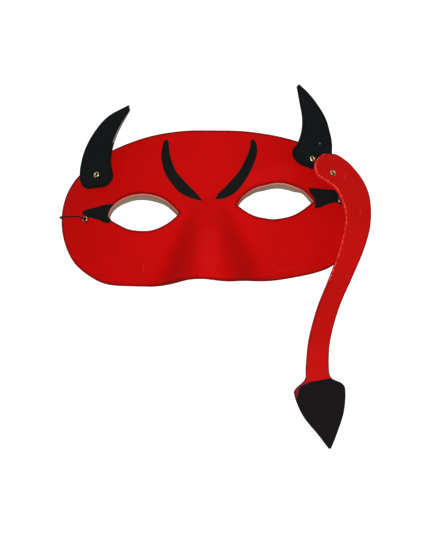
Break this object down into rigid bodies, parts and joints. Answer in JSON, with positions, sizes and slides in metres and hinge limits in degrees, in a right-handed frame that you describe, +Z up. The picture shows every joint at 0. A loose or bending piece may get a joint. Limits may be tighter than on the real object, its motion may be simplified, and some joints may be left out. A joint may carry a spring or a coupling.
{
  "type": "devil mask",
  "caption": "Moulded leather half mask with almond eye holes, leather horns, a pointed leather tail and an elastic strap.",
  "frame": {"origin": "on the floor, under the middle of the box of the mask, horns and tail, as it lies face up", "axes": "+X to the viewer's right across the face, +Y from the chin side to the forehead, +Z up out of the face"},
  "size_m": [0.1837, 0.2146, 0.0635],
  "materials": {
    "red_leather": "matt dyed leather, bare at the cut edges",
    "tail_leather": "matt dyed leather, its spade painted black",
    "black_leather": "matt dyed leather",
    "brass": "polished",
    "elastic": "woven round elastic"
  },
  "bodies": {
    "root": {"mask": "red_leather", "horn_left": "black_leather", "horn_right": "black_leather", "tail": "tail_leather", "eyelet_horn_left": "brass", "eyelet_horn_right": "brass", "eyelet_tail": "brass", "eyelet_lace_left": "brass", "eyelet_lace_right": "brass", "strap": "elastic", "strap_knot_left": "elastic", "strap_knot_right": "elastic"}
  },
  "joints": []
}
